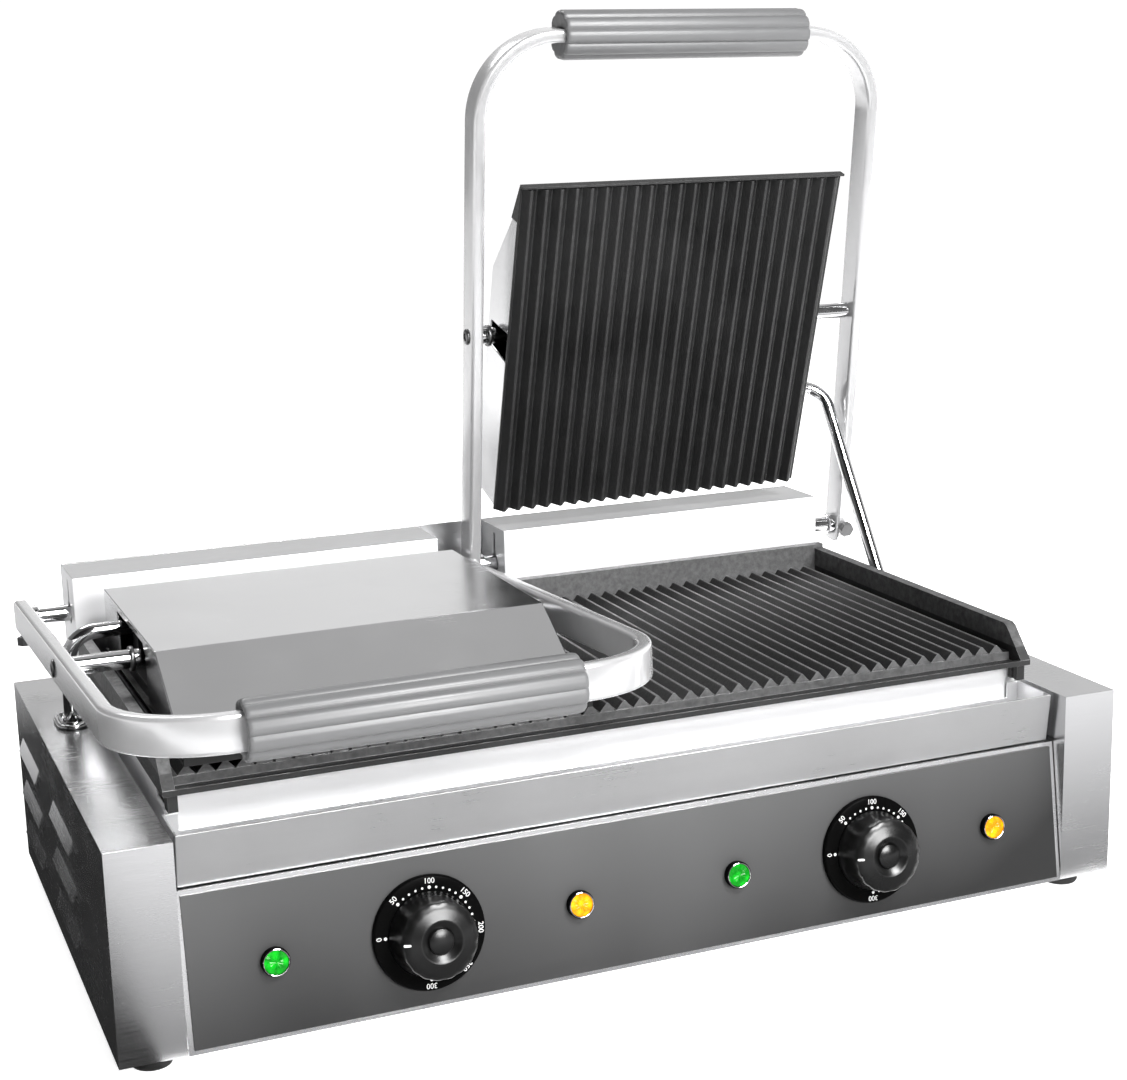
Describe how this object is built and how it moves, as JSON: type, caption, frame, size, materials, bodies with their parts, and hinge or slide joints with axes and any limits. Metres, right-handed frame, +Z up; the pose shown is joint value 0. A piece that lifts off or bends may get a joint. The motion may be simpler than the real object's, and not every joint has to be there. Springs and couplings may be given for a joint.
{
  "type": "panini press",
  "caption": "Double contact grill with a ribbed cast-iron base plate, two hinged ribbed upper plates on looped arms, front dials and a drip tray.",
  "frame": {"origin": "centre of the object's outline in plan, on the surface its feet stand on, with the left plate closed and the right plate raised", "axes": "+X to the right seen from the front, +Y to the rear, +Z up"},
  "size_m": [0.576, 0.385, 0.5061],
  "materials": {
    "stainless": "brushed stainless sheet",
    "brushed_tray": "satin stainless sheet",
    "galvanised": "zinc-coated sheet",
    "chrome": "polished chrome plate",
    "cast_iron": "seasoned black cast iron",
    "heater_steel": "heat-darkened tube",
    "spring_steel": "oiled steel",
    "foot_rubber": "matte",
    "grip_plastic": "satin grey moulding",
    "black_plastic": "gloss",
    "charcoal_panel": "semi-gloss charcoal with a bright edge",
    "thermostat": "moulded case",
    "terminal": "pale moulding",
    "green_lens": "clear-tinted dome",
    "amber_lens": "clear-tinted dome"
  },
  "bodies": {
    "base": {"left_side_casing": "stainless", "left_conduit_grommet": "chrome", "left_front_foot": "foot_rubber", "left_rear_foot": "foot_rubber", "right_side_casing": "stainless", "right_conduit_grommet": "chrome", "right_front_foot": "foot_rubber", "right_rear_foot": "foot_rubber", "base_pan": "galvanised", "rear_panel": "stainless", "inner_body": "stainless", "cord_gland": "black_plastic", "terminal_block": "terminal", "front_fascia": "stainless", "control_overlay": "charcoal_panel", "left_dial_ring": "black_plastic", "left_thermostat": "thermostat", "right_dial_ring": "black_plastic", "right_thermostat": "thermostat", "left_power_lamp": "green_lens", "left_heat_lamp": "amber_lens", "right_power_lamp": "green_lens", "right_heat_lamp": "amber_lens", "lower_grill_plate": "cast_iron", "left_lower_element": "heater_steel", "left_hinge_housing": "stainless", "left_balance_spring": "spring_steel", "right_lower_element": "heater_steel", "right_hinge_housing": "stainless", "right_balance_spring": "spring_steel"},
    "left_arm_body": {"left_arm": "chrome", "left_hinge_shaft": "chrome", "left_grip": "grip_plastic", "left_plate_rod": "chrome", "left_outer_clamp_screw": "spring_steel", "left_outer_rod_screw": "spring_steel", "left_inner_clamp_screw": "spring_steel", "left_inner_rod_screw": "spring_steel"},
    "left_upper_body": {"left_upper_grill_plate": "cast_iron", "left_upper_cover": "stainless", "left_upper_element": "heater_steel"},
    "left_conduit_body": {"left_conduit": "chrome"},
    "left_knob_body": {"left_knob": "black_plastic"},
    "right_arm_body": {"right_arm": "chrome", "right_hinge_shaft": "chrome", "right_grip": "grip_plastic", "right_plate_rod": "chrome", "right_outer_clamp_screw": "spring_steel", "right_outer_rod_screw": "spring_steel", "right_inner_clamp_screw": "spring_steel", "right_inner_rod_screw": "spring_steel"},
    "right_upper_body": {"right_upper_grill_plate": "cast_iron", "right_upper_cover": "stainless", "right_upper_element": "heater_steel"},
    "right_conduit_body": {"right_conduit": "chrome"},
    "right_knob_body": {"right_knob": "black_plastic"},
    "tray_body": {"drip_tray": "brushed_tray"}
  },
  "joints": [
    {"name": "left_arm_hinge", "type": "hinge", "parent": "base", "child": "left_arm_body", "pos_m": [-0.1415, 0.15627, 0.16], "axis": [-1, 0, 0], "range_deg": [0, 79.4], "stiffness_Nm_per_rad": 4.3, "springref_deg": 106},
    {"name": "left_plate_tilt", "type": "hinge", "parent": "left_arm_body", "child": "left_upper_body", "pos_m": [-0.1281, 0.00482, 0.16873], "axis": [-1, 0, 0], "range_deg": [-6.61, 0]},
    {"name": "left_conduit_swivel", "type": "hinge", "parent": "left_upper_body", "child": "left_conduit_body", "pos_m": [-0.23, 0.06167, 0.1715], "axis": [-1, 0, 0], "range_deg": [-32.75, 0]},
    {"name": "right_arm_hinge", "type": "hinge", "parent": "base", "child": "right_arm_body", "pos_m": [0.1415, 0.15627, 0.16], "axis": [-1, 0, 0], "range_deg": [-79.4, 0], "stiffness_Nm_per_rad": 4.3, "springref_deg": 26.6},
    {"name": "right_plate_tilt", "type": "hinge", "parent": "right_arm_body", "child": "right_upper_body", "pos_m": [0.1281, 0.13699, 0.31047], "axis": [-1, 0, 0], "range_deg": [0, 6.61]},
    {"name": "right_conduit_swivel", "type": "hinge", "parent": "right_upper_body", "child": "right_conduit_body", "pos_m": [0.23, 0.15645, 0.25698], "axis": [-1, 0, 0], "range_deg": [0, 32.75]},
    {"name": "left_knob_turn", "type": "hinge", "parent": "base", "child": "left_knob_body", "pos_m": [-0.1275, -0.13728, 0.0481], "axis": [0, 0.9898, -0.1423], "range_deg": [0, 270]},
    {"name": "right_knob_turn", "type": "hinge", "parent": "base", "child": "right_knob_body", "pos_m": [0.1275, -0.13728, 0.0481], "axis": [0, 0.9898, -0.1423], "range_deg": [0, 270]},
    {"name": "tray_slide", "type": "slide", "parent": "base", "child": "tray_body", "axis": [0, -1, 0], "range_m": [0, 0.045]}
  ],
  "couplings": [
    {"joint": "left_plate_tilt", "follows": "left_arm_hinge", "ratio": -0.08312},
    {"joint": "left_conduit_swivel", "follows": "left_arm_hinge", "ratio": -0.41209},
    {"joint": "right_plate_tilt", "follows": "right_arm_hinge", "ratio": -0.08312},
    {"joint": "right_conduit_swivel", "follows": "right_arm_hinge", "ratio": -0.41209}
  ]
}
